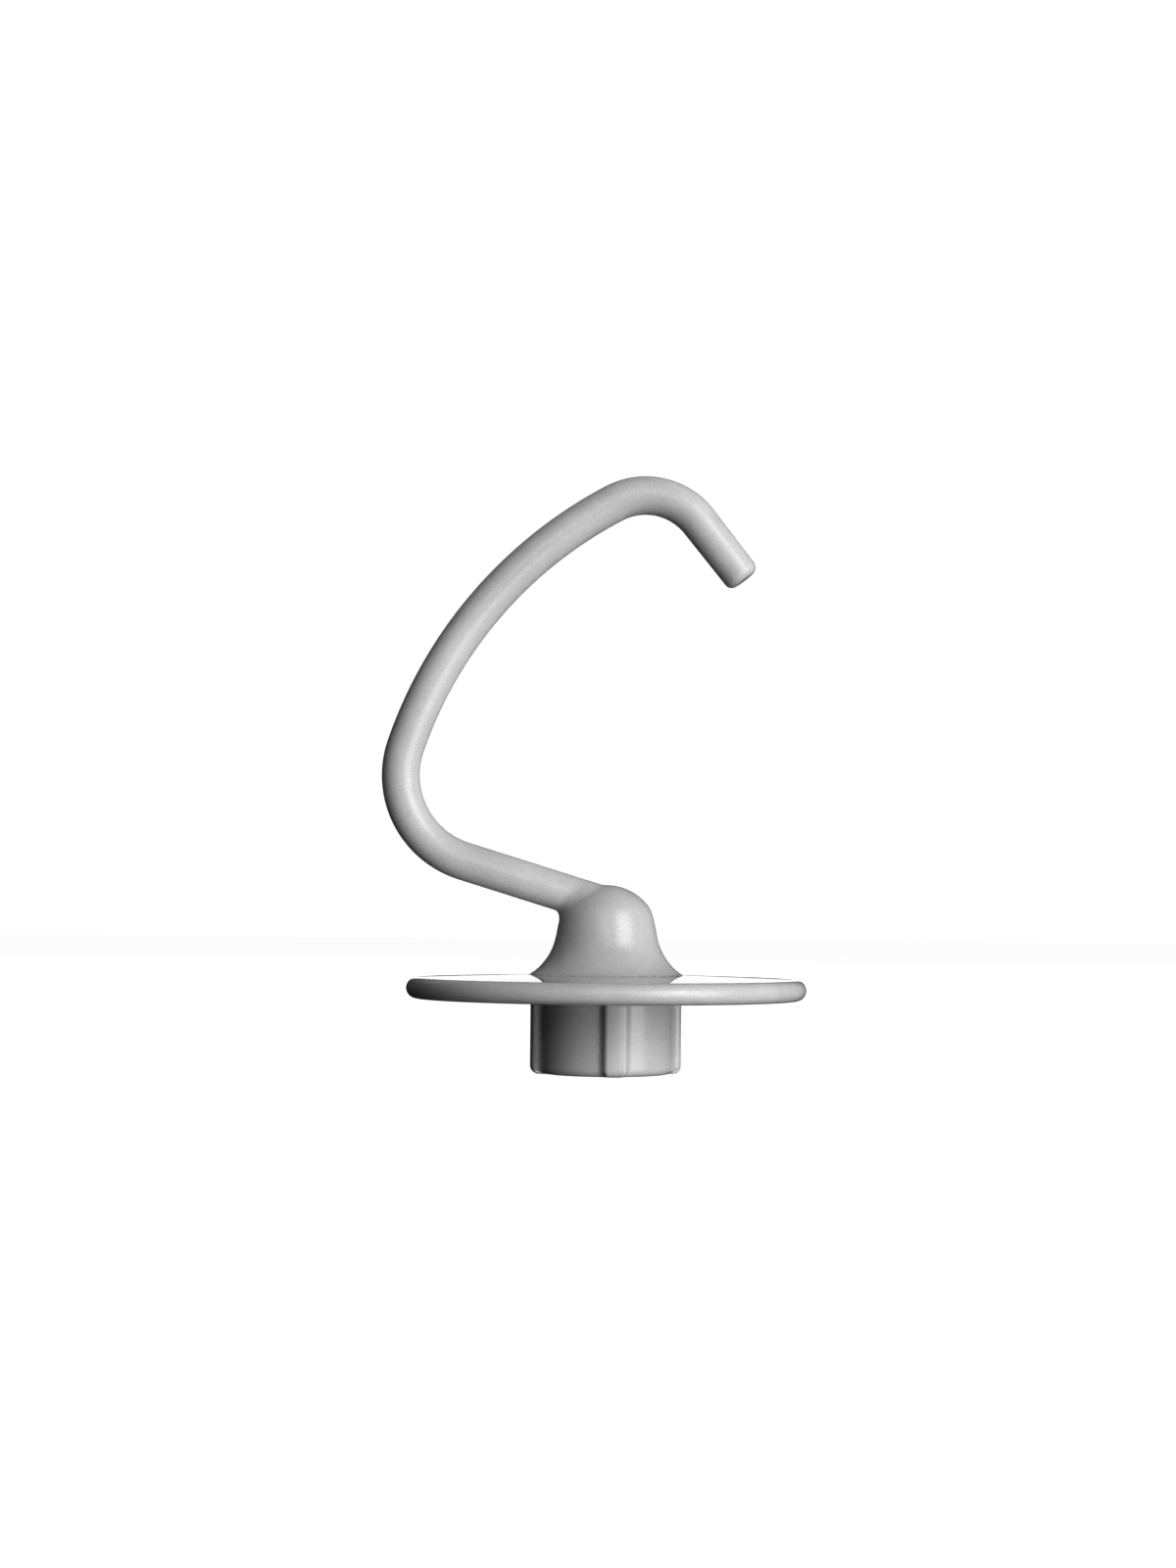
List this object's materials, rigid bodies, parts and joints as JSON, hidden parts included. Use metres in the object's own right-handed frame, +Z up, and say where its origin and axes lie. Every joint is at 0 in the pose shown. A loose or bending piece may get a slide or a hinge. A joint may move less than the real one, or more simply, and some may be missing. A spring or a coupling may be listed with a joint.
{
  "type": "mixer dough hook",
  "caption": "C-shaped dough hook for a stand mixer: bent round bar on a bell hub, round dough shield and ribbed drive collar with a bayonet shaft socket.",
  "frame": {"origin": "centre of the drive socket's mouth, on the flat end face of the collar", "axes": "+Z up the socket's axis from the mouth to the hook; the arm lies in the XZ plane and the hook's open mouth faces +X; Y is across the hook's plane"},
  "size_m": [0.0928, 0.087, 0.1301],
  "materials": {
    "cast_aluminium": "bare as-cast aluminium, seen only in the socket and on its mouth",
    "nylon_coat": "semi-gloss silver-grey nylon powder coat with a fine orange peel"
  },
  "bodies": {
    "root": {"hook_arm": "cast_aluminium", "bell_hub": "cast_aluminium", "dough_shield": "cast_aluminium", "drive_collar": "cast_aluminium", "arm_coating": "nylon_coat", "hub_coating": "nylon_coat", "shield_coating": "nylon_coat", "collar_coating": "nylon_coat"}
  },
  "joints": []
}
